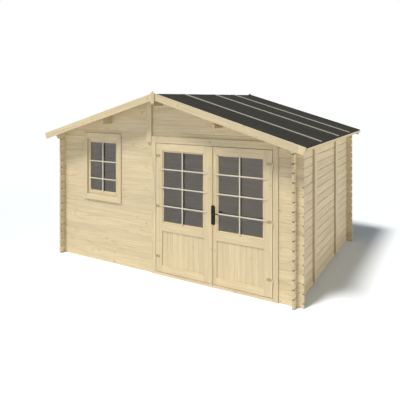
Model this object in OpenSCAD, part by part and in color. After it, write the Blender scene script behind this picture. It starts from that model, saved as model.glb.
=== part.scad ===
// Garden shed of interlocking logs: felted ridge roof, glazed double doors and one window.
// Millimetres, +Z up, front towards -Y, origin on the ground under the middle of the shed.

/* [Log walls] */
// Length of a log in the front and rear walls
front_log_len = 4000; // [3900:10:4400]
// Length of a log in the side walls
side_log_len = 3000; // [2700:10:3600]
// How far the logs run past the corner that they cross
corner_tail = 90; // [60:1:130]
// Thickness of a log
log_t = 28; // [24:1:44]
// Height of one course of logs
course = 113; // [108:0.5:120]
// Number of courses in a side wall
side_courses = 17; // [16:1:18]
// Chamfer along each edge of a log, half of the V between two courses
log_chamfer = 5; // [2:0.5:6]
// Width of the tongue on top of a log
tongue_w = 10; // [6:0.5:12]
// Height of the tongue on top of a log
tongue_h = 8; // [4:0.5:12]
// Distance of a tongue's ends from the ends of its log
tongue_back = 40; // [30:1:60]
// Height of the chamfer above and below on a log's end
end_chamfer_h = 13; // [4:1:18]
// Length of that chamfer along the log
end_chamfer_len = 24; // [4:1:30]
// How much further the topmost side logs reach past the gables
plate_reach = 68; // [0:1:110]

/* [Roof] */
// Pitch of the roof in degrees
roof_pitch = 16.6; // [12:0.1:22]
// How far the roof runs past the front and rear walls
gable_overhang = 220; // [170:1:320]
// How far the roof boards run past the side walls, measured level
eave_overhang = 168; // [120:1:240]
// Thickness of the roof boards
deck_t = 18; // [14:0.5:24]
// Thickness of the roofing felt
felt_t = 4; // [2:0.5:6]
// Width of a purlin
purlin_w = 28; // [24:1:70]
// Height of a purlin
purlin_h = 142; // [100:1:170]
// Distance of the side purlins from the ridge
purlin_x = 917; // [700:1:1100]
// Width of a barge board
barge_w = 92; // [70:1:130]
// Thickness of a barge board
barge_t = 18; // [12:0.5:26]
// How far a barge board stands above the felt
barge_rise = 9; // [4:1:30]
// Width of the pointed board over the apex
apex_w = 58; // [40:1:80]
// Height of the pointed board over the apex
apex_h = 180; // [140:1:220]
// Thickness of the pointed board over the apex
apex_t = 15; // [10:0.5:22]
// Height of the trim board along the eaves
eave_trim_h = 22; // [18:1:40]
// How far the felt stops short of the trim's outer face
felt_set = 14; // [2:1:15]
// Thickness of the trim board along the eaves
eave_trim_t = 16; // [12:0.5:20]
// Width of a batten over the felt
felt_batten_w = 26; // [18:1:40]
// Thickness of a batten over the felt
felt_batten_t = 10; // [6:0.5:16]
// Distance from the foot of a felt batten to the ends of the roof boards
felt_batten_end = 20; // [5:1:60]
// Places of the felt battens behind the front wall
felt_batten_places = [553, 1511, 2269]; // [300:1:2600]

/* [Boards on the walls] */
// Width of the upright boards on the side walls
wall_board_w = 104; // [60:1:120]
// Thickness of the upright boards on the walls
wall_board_t = 27; // [16:1:32]
// Height of the lower end of the upright side boards
wall_board_z = 45; // [20:1:120]
// Places of the upright side boards behind the front wall
wall_board_places = [744, 1935]; // [500:1:2300]
// Width of the upright board on a gable
gable_board_w = 84; // [60:1:110]
// How far the gable board runs below the lowest gable log
gable_board_drop = 24; // [10:1:60]

/* [Doorway] */
// Wall between the doorway and the right end of the front logs
door_margin = 376.5; // [250:0.5:500]
// Clear width between the jambs
door_w = 1723; // [1600:1:1760]
// Thickness of a jamb or head between the leaf and the logs
frame_core = 32; // [26:1:40]
// Width of a jamb's face
jamb_face = 66; // [52:1:80]
// Height of the head's face
head_face = 91; // [80:1:110]
// Thickness of the casing before and behind the logs
casing_t = 17; // [12:0.5:22]
// How far the door stop stands out from the jamb
stop_w = 12; // [8:1:16]
// Height of the sill
sill_h = 40; // [30:1:60]

/* [Door leaves] */
// Thickness of a door leaf
leaf_t = 38; // [32:1:42]
// Gap round a leaf
leaf_gap = 6; // [5:0.5:8]
// Gap between the two leaves
meeting_gap = 7; // [6:0.5:9]
// How far the meeting line lies to the right of the doorway's middle
meeting_shift = 20; // [0:1:30]
// Width of the outer stile of a leaf
stile_w = 104; // [90:1:115]
// Width of the right leaf's meeting stile
lock_stile_w = 78; // [74:1:100]
// Height of the top rail
top_rail = 96; // [80:1:120]
// Height of the middle rail
lock_rail = 106; // [90:1:130]
// Height of the bottom rail
bottom_rail = 95; // [80:1:130]
// Height of the boarded panel
panel_h = 478; // [380:1:560]
// Width of the bead round the glass
bead_w = 21; // [14:1:28]
// How far the bead lies behind the leaf's face
bead_set = 8; // [4:1:11]
// Thickness of the boarded panel
panel_t = 16; // [12:1:18]
// Number of boards in a panel
panel_boards = 8; // [5:1:10]
// Thickness of the glass
glass_t = 4; // [3:0.5:6]
// Width of the strip along the right leaf's meeting edge
closing_w = 20.5; // [14:0.5:30]
// Thickness of that strip
closing_t = 14; // [10:1:18]

/* [Door fittings] */
// Distance of the outer hinges from the ends of a leaf
hinge_inset = 192; // [150:1:260]
// Height of a hinge barrel
barrel_h = 76; // [60:1:90]
// Diameter of a hinge barrel
barrel_d = 14; // [12:0.5:15]
// Diameter of a hinge pin
pin_d = 7; // [5:0.5:8]
// Length of the hinge strap on the leaf
strap_len = 74; // [50:1:90]
// Length of the hinge strap on the jamb
jamb_strap_len = 14; // [10:1:30]
// Height of the hinge straps
strap_h = 32; // [16:1:36]
// Thickness of the hinge straps
strap_t = 2.5; // [2:0.5:4]
// Height of the lever's spindle
lever_z = 971; // [930:1:1010]
// Distance of the spindle from the right leaf's meeting edge
backset = 27.5; // [27:0.5:36]
// Width of a lock plate
plate_w = 54; // [40:1:54]
// Height of a lock plate
plate_h = 257; // [200:1:280]
// How far the middle of the lock plate lies below the spindle
plate_drop = 31; // [20:1:50]
// Thickness of a lock plate
plate_t = 3; // [2:0.5:5]
// Length of a lever from its spindle
lever_len = 84; // [70:1:125]
// Diameter of a lever
lever_d = 15; // [12:0.5:18]
// How far a lever stands out from its plate
lever_out = 48; // [40:1:60]
// Diameter of the spindle
spindle_d = 8; // [7:0.5:10]

/* [Window] */
// How far the window lies right of the middle of its stretch of wall
window_shift = -7; // [-60:1:60]
// Clear width inside the window frame
window_w = 597; // [520:1:640]
// Number of courses under the window, above the lowest half log
window_sill_courses = 8; // [7:1:9]
// Height of the face of the frame's bottom member
window_sill_face = 88; // [70:1:100]
// How far the sash lies behind the casing's face
sash_set = 25; // [18:1:30]
// Width of the sash's stiles
sash_stile = 48; // [40:1:60]
// Height of the sash's rails
sash_rail = 54; // [44:1:70]
// Thickness of the sash
sash_t = 34; // [28:1:36]

/* [Floor] */
// Height of a floor bearer
bearer_h = 28; // [20:1:40]
// Width of a floor bearer
bearer_w = 70; // [50:1:90]
// Number of floor bearers
bearer_count = 5; // [4:1:7]
// Thickness of the floor boards
floor_t = 19; // [16:1:24]

/* [Hidden] */
// Gap between pieces that rest on or against each other
seat = 0.4;
// Running clearance of pins and spindles in their bores
bore_fit = 0.5;
// Depth by which glass and panels sit in their grooves
groove = 8;
// Overlap that lets a cut pass through a face
eps = 1;

side_x = front_log_len / 2 - corner_tail;
front_y = corner_tail - side_log_len / 2;
rear_y = -front_y;
wall_top = side_courses * course;
notch_h = course / 4;
lintel_z = front_seam(side_courses - 1);
gable_courses = 1 + floor((under_z(0) - lintel_z) / course);
rise = tan(roof_pitch);
deck_v = deck_t / cos(roof_pitch);
felt_v = felt_t / cos(roof_pitch);
barge_v = barge_w / cos(roof_pitch);
deck_edge = side_x + eave_overhang;
trim_x0 = deck_edge + deck_t * sin(roof_pitch) + seat;
felt_edge = trim_x0 + eave_trim_t - felt_set;
roof_y = gable_overhang - front_y;
deck_y = roof_y - barge_t - seat;
barge_top = felt_top_z(0) + barge_rise;

head_z = lintel_z - seat - frame_core;
leaf_z0 = sill_h + leaf_gap;
leaf_z1 = head_z - leaf_gap;
leaf_face = front_y - casing_t;
frame_back = front_y + log_t + casing_t;
stop_y = frame_back - casing_t;
door_x1 = front_log_len / 2 - door_margin;
door_x0 = door_x1 - door_w;
door_x = (door_x0 + door_x1) / 2;
meeting_x = door_x + meeting_shift;
left_leaf_x0 = door_x0 + leaf_gap;
left_leaf_x1 = meeting_x - meeting_gap / 2;
right_leaf_x0 = meeting_x + meeting_gap / 2;
right_leaf_x1 = door_x1 - leaf_gap;
glass_z0 = leaf_z0 + bottom_rail + panel_h + lock_rail;
glass_z1 = leaf_z1 - top_rail;
panel_z0 = leaf_z0 + bottom_rail;
panel_z1 = panel_z0 + panel_h;
pin_y = leaf_face - barrel_d / 2 - 1;
left_pin_x = door_x0 + leaf_gap / 2;
right_pin_x = door_x1 - leaf_gap / 2;
spindle_x = right_leaf_x0 + backset;
hinge_heights = [leaf_z0 + hinge_inset, (leaf_z0 + leaf_z1) / 2, leaf_z1 - hinge_inset];

window_x = (door_x0 - jamb_face - front_log_len / 2) / 2 + window_shift;
window_z0 = front_seam(window_sill_courses) + seat + frame_core;
window_z1 = head_z;
sash_face = front_y - casing_t + sash_set;

floor_x = side_x - log_t - seat;
floor_y = rear_y - log_t - seat;

spruce = [0.87, 0.78, 0.62];
planed = [0.9, 0.84, 0.72];
charcoal = [0.25, 0.25, 0.24];
pane = [0.4, 0.42, 0.42, 0.5];
zinc = [0.78, 0.74, 0.62];
black = [0.08, 0.08, 0.08];

// Height of the underside of the roof boards at a distance x from the ridge line
function under_z(x) = wall_top + seat + (side_x - abs(x)) * tan(roof_pitch);
// Height of the felt's upper face at a distance x from the ridge line
function felt_top_z(x) = under_z(x) + (deck_t + felt_t) / cos(roof_pitch) + 2 * seat;
// Height of a seam between two logs of the front and rear walls, which lie half a course higher
function front_seam(k) = course / 2 + k * course;

// Box between two corners
module block(low, high) {
    translate(low) cube(high - low);
}

// Section of a log, its thickness along x and its height along y, with tongue and groove
module log_section(height, tongued, grooved) {
    half = log_t / 2;
    tongue = tongue_w / 2;
    slot = tongue + seat;
    top = height - seat;
    difference() {
        union() {
            polygon([[-half, log_chamfer], [log_chamfer - half, 0], [half - log_chamfer, 0],
                [half, log_chamfer], [half, top - log_chamfer], [half - log_chamfer, top],
                [log_chamfer - half, top], [-half, top - log_chamfer]]);
            if (tongued)
                translate([-tongue, top - eps]) square([tongue_w, tongue_h + eps]);
        }
        if (grooved)
            translate([-slot, -eps]) square([2 * slot, tongue_h + eps + seat]);
    }
}

// Lower corner of a log's end, from its underside up: a plain chamfer, or a round of a radius
function plain_foot() = [[-end_chamfer_len, 0], [0, end_chamfer_h]];
function round_foot(radius) =
    [for (a = [0 : 11.25 : 90]) [radius * (sin(a) - 1), radius * (1 - cos(a))]];

// Side view of a log with the given lower corners, chamfered above
module log_outline(length, height, foot) {
    half = length / 2;
    top = height - seat;
    end = concat([for (p = foot) [half + p[0], p[1]]],
        [[half, top - end_chamfer_h], [half - end_chamfer_len, top],
            [half - tongue_back, top], [half - tongue_back, top + tongue_h + eps]]);
    polygon(concat(end, [for (k = [len(end) - 1 : -1 : 0]) [-end[k][0], end[k][1]]]));
}

// Log of a side wall, lying along Y, from its lower seam z over a given height
module side_log(x, z, height, reach) {
    length = side_log_len + 2 * reach;
    difference() {
        intersection() {
            translate([x, length / 2, z]) rotate([90, 0, 0])
                linear_extrude(length) log_section(height, reach == 0, z > 0);
            translate([x - log_t, 0, z]) rotate([90, 0, 90]) linear_extrude(2 * log_t)
                log_outline(length, height, reach > 0 ? round_foot(reach) : plain_foot());
        }
        for (y = [front_y + log_t / 2, rear_y - log_t / 2])
            corner_notches([x, y], z, min(height, course));
    }
}

// Log of the front or rear wall, lying along X, from its lower seam z over a given height
module cross_log(y, z, height) {
    difference() {
        intersection() {
            translate([-front_log_len / 2, y, z]) rotate([90, 0, 90])
                linear_extrude(front_log_len) log_section(height, true, z > 0);
            translate([0, y + log_t, z]) rotate([90, 0, 0]) linear_extrude(2 * log_t)
                log_outline(front_log_len, height, plain_foot());
        }
        for (x = [log_t / 2 - side_x, side_x - log_t / 2])
            corner_notches([x, y], z, height);
    }
}

// Notches above and below a log where the log of the other wall crosses it
module corner_notches(at, z, height) {
    width = log_t + 2 * seat;
    low = at - [width, width] / 2;
    high = at + [width, width] / 2;
    block([low[0], low[1], z + height - notch_h - seat], [high[0], high[1], z + height + course]);
    if (z > 0 || height == course)
        block([low[0], low[1], z - eps], [high[0], high[1], z + notch_h]);
}

// One side wall
module side_wall(x) {
    for (k = [0 : side_courses - 2])
        side_log(x, k * course, course, 0);
    difference() {
        side_log(x, wall_top - course, course + course, plate_reach);
        roof_space();
    }
}

// Everything above the underside of the roof boards, less a seat
module roof_space() {
    far = front_log_len;
    translate([0, side_log_len, 0]) rotate([90, 0, 0]) linear_extrude(2 * side_log_len)
        polygon([[-far, under_z(far) - seat], [0, under_z(0) - seat], [far, under_z(far) - seat],
            [far, 2 * under_z(0)], [-far, 2 * under_z(0)]]);
}

// The courses of a front or rear wall below the gable
module cross_wall(y) {
    cross_log(y, 0, course / 2);
    for (k = [0 : side_courses - 2])
        cross_log(y, front_seam(k), course);
}

// Gable logs, cut to the roof's slope and let round the purlins
module gable(y) {
    difference() {
        for (k = [0 : gable_courses - 1])
            cross_log(y, lintel_z + k * course, course);
        roof_space();
        for (x = [-purlin_x, 0, purlin_x])
            block([x - purlin_w / 2 - seat, y - log_t, purlin_foot(x) - seat],
                [x + purlin_w / 2 + seat, y + log_t, under_z(0) + course]);
    }
}

// Height of a purlin's underside
function purlin_foot(x) = under_z(x) - purlin_h;

module left_wall() {
    color(spruce) side_wall(log_t / 2 - side_x);
}

module right_wall() {
    color(spruce) side_wall(side_x - log_t / 2);
}

module rear_wall() {
    color(spruce) cross_wall(rear_y - log_t / 2);
}

// Cut in the front wall for the door frame
module doorway_cut() {
    side = frame_core + seat;
    block([door_x0 - side, front_y - log_t, -eps], [door_x1 + side, front_y + 2 * log_t, lintel_z]);
}

// Cut in the front wall for the window frame
module window_cut() {
    side = window_w / 2 + frame_core + seat;
    block([window_x - side, front_y - log_t, front_seam(window_sill_courses) - seat],
        [window_x + side, front_y + 2 * log_t, lintel_z]);
}

module front_wall_left() {
    color(spruce) difference() {
        cross_wall(front_y + log_t / 2);
        doorway_cut();
        window_cut();
        block([door_x, front_y - log_t, -eps], [front_log_len, front_y + 2 * log_t, wall_top]);
    }
}

module front_wall_right() {
    color(spruce) difference() {
        cross_wall(front_y + log_t / 2);
        doorway_cut();
        block([-front_log_len, front_y - log_t, -eps], [door_x, front_y + 2 * log_t, wall_top]);
    }
}

module front_gable() {
    color(spruce) gable(front_y + log_t / 2);
}

module rear_gable() {
    color(spruce) gable(rear_y - log_t / 2);
}

// Bearers lie along X, under the floor boards
module floor_bearers() {
    pitch = (2 * floor_y - bearer_w) / (bearer_count - 1);
    first = frame_back + seat;
    color(spruce) for (k = [0 : bearer_count - 1]) {
        y = max(first, k * pitch - floor_y);
        block([-floor_x, y, 0], [floor_x, y + bearer_w, bearer_h]);
    }
}

module floor_boards() {
    side = door_w / 2 + jamb_face + seat;
    color(planed) difference() {
        block([-floor_x, -floor_y, bearer_h + seat], [floor_x, floor_y, bearer_h + seat + floor_t]);
        block([door_x - side, -floor_y - eps, 0], [door_x + side, frame_back + seat, course]);
    }
}

// A purlin runs the length of the roof and its top follows the boards
module purlin(x) {
    half = purlin_w / 2;
    translate([0, deck_y, 0]) rotate([90, 0, 0]) linear_extrude(2 * deck_y)
        polygon([[x - half, purlin_foot(x)], [x + half, purlin_foot(x)],
            [x + half, under_z(x + half) - seat], [x, under_z(x) - seat],
            [x - half, under_z(x - half) - seat]]);
}

module ridge_purlin() {
    color(spruce) purlin(0);
}

module side_purlins() {
    color(spruce) for (side = [-1, 1])
        purlin(side * purlin_x);
}

// Boards of the right slope; the joint at the ridge is upright
module slope_boards() {
    translate([0, deck_y, 0]) rotate([90, 0, 0]) linear_extrude(2 * deck_y)
        polygon([[seat, under_z(seat)], [deck_edge, under_z(deck_edge)],
            [deck_edge + deck_t * sin(roof_pitch), under_z(deck_edge) + deck_t * cos(roof_pitch)],
            [seat, under_z(seat) + deck_v]]);
}

module right_roof_boards() {
    color(planed) slope_boards();
}

module left_roof_boards() {
    color(planed) mirror([1, 0, 0]) slope_boards();
}

// Felt of the right slope, cut off over the trim
module slope_felt() {
    low = under_z(0) + deck_v + seat;
    function foot(x) = low - x * rise;
    translate([0, deck_y, 0]) rotate([90, 0, 0]) linear_extrude(2 * deck_y)
        polygon([[seat, foot(seat)], [felt_edge, foot(felt_edge)],
            [felt_edge, foot(felt_edge) + felt_v], [seat, foot(seat) + felt_v]]);
}

module right_felt() {
    color(charcoal) slope_felt();
}

module left_felt() {
    color(charcoal) mirror([1, 0, 0]) slope_felt();
}

// Battens lie down the slope over the joints of the felt
module felt_battens() {
    length = deck_edge / cos(roof_pitch) - felt_batten_end;
    start = felt_batten_w;
    color(planed) for (side = [0, 1], place = felt_batten_places)
        mirror([side, 0, 0])
            translate([0, front_y + place - felt_batten_w / 2, felt_top_z(0) + seat])
                rotate([0, roof_pitch, 0])
                    translate([start, 0, 0]) cube([length - start, felt_batten_w, felt_batten_t]);
}

// Trim boards close the ends of the roof boards, their tops planed to the slope
module eave_trims() {
    x1 = trim_x0 + eave_trim_t;
    function top(x) = under_z(0) + deck_v - x * rise;
    foot = top(x1) - eave_trim_h;
    color(planed) for (side = [0, 1])
        mirror([side, 0, 0])
            translate([0, deck_y, 0]) rotate([90, 0, 0]) linear_extrude(2 * deck_y)
                polygon([[trim_x0, foot], [x1, foot], [x1, top(x1)], [trim_x0, top(trim_x0)]]);
}

// Right barge board: mitred at the apex and cut square at the eaves
module barge_board() {
    drop = [barge_w * sin(roof_pitch), barge_w * cos(roof_pitch)];
    function top(x) = barge_top - x * rise;
    end = trim_x0 + eave_trim_t / 4;
    linear_extrude(barge_t)
        polygon([[seat, top(seat)], [end, top(end)], [end - drop[0], top(end) - drop[1]],
            [seat, top(seat) - barge_v]]);
}

// A pair of barge boards with its outer face at y
module barge_pair(y) {
    translate([0, y + barge_t, 0]) rotate([90, 0, 0]) {
        barge_board();
        mirror([1, 0, 0]) barge_board();
    }
}

module front_barge_boards() {
    color(spruce) barge_pair(-roof_y);
}

module rear_barge_boards() {
    color(spruce) barge_pair(roof_y - barge_t);
}

// Pointed boards cover the mitre of the barge boards
module apex_boards() {
    half = apex_w / 2;
    top = barge_top + apex_h / 8;
    foot = top - apex_h;
    color(spruce) for (y = [-roof_y - seat, roof_y + apex_t + seat])
        translate([0, y, 0]) rotate([90, 0, 0]) linear_extrude(apex_t)
            polygon([[0, foot], [half, foot + half], [half, top - half], [0, top], [-half, top - half],
                [-half, foot + half]]);
}

// Upright boards hold the gable logs in line, beside the door frame and clear of the ridge purlin
module gable_boards() {
    x1 = min(door_x0 - jamb_face, -purlin_w / 2) - seat;
    x0 = x1 - gable_board_w;
    foot = lintel_z - gable_board_drop;
    y = front_y - seat;
    color(spruce) for (turn = [0, 180])
        rotate(turn) translate([0, y, 0]) rotate([90, 0, 0]) linear_extrude(wall_board_t)
            polygon([[x0, foot], [x1, foot], [x1, under_z(x1) - seat], [x0, under_z(x0) - seat]]);
}

// Upright boards stiffen the side walls
module wall_boards() {
    x = side_x + seat;
    color(spruce) for (side = [0, 1], place = wall_board_places)
        mirror([side, 0, 0])
            translate([0, front_y + place + wall_board_w / 2, 0]) rotate([90, 0, 0])
                linear_extrude(wall_board_w)
                    polygon([[x, wall_board_z], [x + wall_board_t, wall_board_z],
                        [x + wall_board_t, under_z(x + wall_board_t) - seat],
                        [x, under_z(x) - seat]]);
}

// Left jamb beside the doorway: casings before and behind the logs, and a core between
module jamb() {
    block([-frame_core, leaf_face, 0], [0, frame_back, head_z + frame_core]);
    for (y = [leaf_face, stop_y + seat])
        block([-jamb_face, y, 0], [0, y + casing_t - seat, head_z + head_face]);
}

module left_jamb() {
    color(planed) translate([door_x0, 0, 0]) jamb();
}

module right_jamb() {
    color(planed) translate([door_x1, 0, 0]) mirror([1, 0, 0]) jamb();
}

// The head lies between the jambs, cased like them
module door_head() {
    x0 = door_x0 + seat;
    x1 = door_x1 - seat;
    color(planed) {
        block([x0, leaf_face, head_z], [x1, frame_back, head_z + frame_core]);
        for (y = [leaf_face, stop_y + seat])
            block([x0, y, head_z], [x1, y + casing_t - seat, head_z + head_face]);
    }
}

module door_sill() {
    color(planed) block([door_x0 + seat, leaf_face, 0], [door_x1 - seat, frame_back, sill_h]);
}

// Strips on the jambs, the head and the sill that the leaves close against
module door_stops() {
    foot = sill_h + seat;
    top = head_z - seat;
    color(planed) {
        for (x = [door_x0 + seat, door_x1 - seat - stop_w])
            block([x, stop_y, foot], [x + stop_w, frame_back, top]);
        for (z = [foot, top - stop_w])
            block([door_x0 + stop_w + 2 * seat, stop_y, z],
                [door_x1 - stop_w - 2 * seat, frame_back, z + stop_w]);
    }
}

// Frame of a leaf from x0 to x1, with the given stiles, rebated for its glass and its panel
module leaf_frame(x0, x1, left_stile, right_stile) {
    y0 = leaf_face;
    y1 = leaf_face + leaf_t;
    gx0 = x0 + left_stile;
    gx1 = x1 - right_stile;
    difference() {
        block([x0, y0, leaf_z0], [x1, y1, leaf_z1]);
        block([gx0 + bead_w, y0 - eps, glass_z0 + bead_w], [gx1 - bead_w, y1 + eps, glass_z1 - bead_w]);
        for (y = [y0 - eps, y1 - bead_set])
            block([gx0, y, glass_z0], [gx1, y + bead_set + eps, glass_z1]);
        leaf_pane(x0, x1, left_stile, right_stile, seat);
        block([gx0, y0 - eps, panel_z0], [gx1, y1 + eps, panel_z1]);
        leaf_board(x0, x1, left_stile, right_stile, seat);
    }
}

// Pane of a leaf, grown by a margin for its groove
module leaf_pane(x0, x1, left_stile, right_stile, margin) {
    reach = bead_w - groove - margin;
    y = leaf_face + leaf_t / 2;
    block([x0 + left_stile + reach, y - glass_t / 2 - margin, glass_z0 + reach],
        [x1 - right_stile - reach, y + glass_t / 2 + margin, glass_z1 - reach]);
}

// Panel of a leaf, grown by a margin for its groove
module leaf_board(x0, x1, left_stile, right_stile, margin) {
    reach = groove + margin;
    y = leaf_face + leaf_t / 2;
    block([x0 + left_stile - reach, y - panel_t / 2 - margin, panel_z0 - reach],
        [x1 - right_stile + reach, y + panel_t / 2 + margin, panel_z1 + reach]);
}

// Panel with the V grooves between its boards
module leaf_panel(x0, x1, left_stile, right_stile) {
    gx0 = x0 + left_stile;
    pitch = (x1 - right_stile - gx0) / panel_boards;
    vee = panel_t / 5;
    y = leaf_face + leaf_t / 2;
    difference() {
        leaf_board(x0, x1, left_stile, right_stile, 0);
        for (k = [1 : panel_boards - 1], side = [-1, 1])
            translate([gx0 + k * pitch, y + side * panel_t / 2, panel_z0 - course])
                linear_extrude(panel_h + 2 * course) polygon([[-vee, 0], [0, vee], [vee, 0], [0, -vee]]);
    }
}

module left_leaf_frame() {
    color(planed) leaf_frame(left_leaf_x0, left_leaf_x1, stile_w, stile_w);
}

module left_leaf_panel() {
    color(spruce) leaf_panel(left_leaf_x0, left_leaf_x1, stile_w, stile_w);
}

module left_leaf_glass() {
    color(pane) leaf_pane(left_leaf_x0, left_leaf_x1, stile_w, stile_w, 0);
}

// The strip along the right leaf's meeting edge stops above and below the lock plate
module closing_strip() {
    plate_z = lever_z - plate_drop;
    gap = plate_h / 2 + seat;
    x1 = right_leaf_x0 + closing_w;
    y0 = leaf_face - seat - closing_t;
    color(planed) {
        block([right_leaf_x0, y0, leaf_z0], [x1, leaf_face - seat, plate_z - gap]);
        block([right_leaf_x0, y0, plate_z + gap], [x1, leaf_face - seat, leaf_z1]);
    }
}

module right_leaf_frame() {
    color(planed) difference() {
        leaf_frame(right_leaf_x0, right_leaf_x1, lock_stile_w, stile_w);
        spindle_bore();
    }
}

module right_leaf_panel() {
    color(spruce) leaf_panel(right_leaf_x0, right_leaf_x1, lock_stile_w, stile_w);
}

module right_leaf_glass() {
    color(pane) leaf_pane(right_leaf_x0, right_leaf_x1, lock_stile_w, stile_w, 0);
}

// Bore for the spindle through the leaf and its lock plates
module spindle_bore() {
    translate([spindle_x, leaf_face + leaf_t / 2, lever_z]) rotate([90, 0, 0])
        cylinder(h = 4 * leaf_t, d = spindle_d + 2 * bore_fit, center = true, $fn = 32);
}

// Lower half of a hinge on the left jamb: strap, knuckle and pin
module jamb_hinge(z) {
    translate([0, 0, z]) {
        difference() {
            union() {
                translate([0, 0, -barrel_h / 2])
                    cylinder(h = barrel_h / 2 - seat, d = barrel_d, $fn = 32);
                block([-jamb_strap_len, leaf_face - pin_y - strap_t - seat, -barrel_h / 2],
                    [0, leaf_face - pin_y - seat, strap_h - barrel_h / 2]);
            }
            translate([0, 0, -barrel_h]) cylinder(h = 2 * barrel_h, d = pin_d - eps, $fn = 32);
        }
        translate([0, 0, -barrel_h / 2]) cylinder(h = barrel_h - seat, d = pin_d, $fn = 32);
    }
}

// Upper half of a hinge on the left leaf: strap and knuckle
module leaf_hinge(z) {
    translate([0, 0, z]) difference() {
        union() {
            cylinder(h = barrel_h / 2, d = barrel_d, $fn = 32);
            block([0, leaf_face - pin_y - strap_t - seat, barrel_h / 2 - strap_h],
                [strap_len, leaf_face - pin_y - seat, barrel_h / 2]);
        }
        translate([0, 0, -barrel_h]) cylinder(h = 2 * barrel_h, d = pin_d + 2 * bore_fit, $fn = 32);
    }
}

module left_jamb_hinges() {
    color(zinc) for (z = hinge_heights)
        translate([left_pin_x, pin_y, 0]) jamb_hinge(z);
}

module left_leaf_hinges() {
    color(zinc) for (z = hinge_heights)
        translate([left_pin_x, pin_y, 0]) leaf_hinge(z);
}

module right_jamb_hinges() {
    color(zinc) for (z = hinge_heights)
        translate([right_pin_x, pin_y, 0]) mirror([1, 0, 0]) jamb_hinge(z);
}

module right_leaf_hinges() {
    color(zinc) for (z = hinge_heights)
        translate([right_pin_x, pin_y, 0]) mirror([1, 0, 0]) leaf_hinge(z);
}

// Long plates with round ends on both faces of the leaf
module lock_plates() {
    mid = lever_z - plate_drop;
    straight = plate_h - plate_w;
    color(black) difference() {
        for (y = [leaf_face - seat, leaf_face + leaf_t + plate_t + seat])
            translate([spindle_x, y, mid]) rotate([90, 0, 0]) linear_extrude(plate_t) {
                square([plate_w, straight], center = true);
                for (end = [-1, 1])
                    translate([0, end * straight / 2]) circle(d = plate_w, $fn = 48);
            }
        spindle_bore();
    }
}

// Levers on both faces of the leaf, joined by their spindle
module door_lever() {
    span = leaf_t / 2 + seat + plate_t + lever_out;
    hub_d = lever_d * 1.4;
    color(black) translate([spindle_x, leaf_face + leaf_t / 2, lever_z]) {
        rotate([90, 0, 0]) cylinder(h = 2 * span - lever_d, d = spindle_d, center = true, $fn = 32);
        for (side = [-1, 1]) {
            translate([0, side * (span - lever_d / 2), 0]) {
                rotate([0, 90, 0]) cylinder(h = lever_len, d = lever_d, $fn = 32);
                sphere(d = lever_d, $fn = 32);
                translate([lever_len, 0, 0]) sphere(d = lever_d, $fn = 32);
            }
            rotate([90 * side, 0, 0])
                translate([0, 0, -span + lever_d / 2])
                    cylinder(h = lever_out - lever_d / 2 - seat, d = hub_d, $fn = 32);
        }
    }
}

// One frame round the window, cased before and behind the logs
module window_frame() {
    half = window_w / 2;
    color(planed) difference() {
        union() {
            block([window_x - half - frame_core, leaf_face, window_z0 - frame_core],
                [window_x + half + frame_core, frame_back, window_z1 + frame_core]);
            for (y = [leaf_face, frame_back - casing_t + seat])
                block([window_x - half - jamb_face, y, window_z0 - window_sill_face],
                    [window_x + half + jamb_face, y + casing_t - seat, window_z1 + head_face]);
        }
        block([window_x - half, leaf_face - eps, window_z0],
            [window_x + half, frame_back + eps, window_z1]);
    }
}

// Pane of the window, grown by a margin for its groove
module window_pane(margin) {
    half = window_w / 2 - seat - sash_stile + groove + margin;
    y = sash_face + sash_t / 2;
    block([window_x - half, y - glass_t / 2 - margin, window_z0 + sash_rail - groove - margin],
        [window_x + half, y + glass_t / 2 + margin, window_z1 - sash_rail + groove + margin]);
}

module window_sash() {
    half = window_w / 2 - seat;
    clear = half - sash_stile;
    color(planed) difference() {
        block([window_x - half, sash_face, window_z0 + seat],
            [window_x + half, sash_face + sash_t, window_z1 - seat]);
        block([window_x - clear, sash_face - eps, window_z0 + sash_rail],
            [window_x + clear, sash_face + sash_t + eps, window_z1 - sash_rail]);
        window_pane(seat);
    }
}

module window_glass() {
    color(pane) window_pane(0);
}

left_wall();
right_wall();
rear_wall();
front_wall_left();
front_wall_right();
front_gable();
rear_gable();
floor_bearers();
floor_boards();
ridge_purlin();
side_purlins();
left_roof_boards();
right_roof_boards();
left_felt();
right_felt();
felt_battens();
eave_trims();
front_barge_boards();
rear_barge_boards();
apex_boards();
gable_boards();
wall_boards();
left_jamb();
right_jamb();
door_head();
door_sill();
door_stops();
left_leaf_frame();
left_leaf_panel();
left_leaf_glass();
closing_strip();
right_leaf_frame();
right_leaf_panel();
right_leaf_glass();
left_jamb_hinges();
left_leaf_hinges();
right_jamb_hinges();
right_leaf_hinges();
lock_plates();
door_lever();
window_frame();
window_sash();
window_glass();
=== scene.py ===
import math
import bmesh
import bpy
from mathutils import Matrix, Vector, noise


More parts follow.
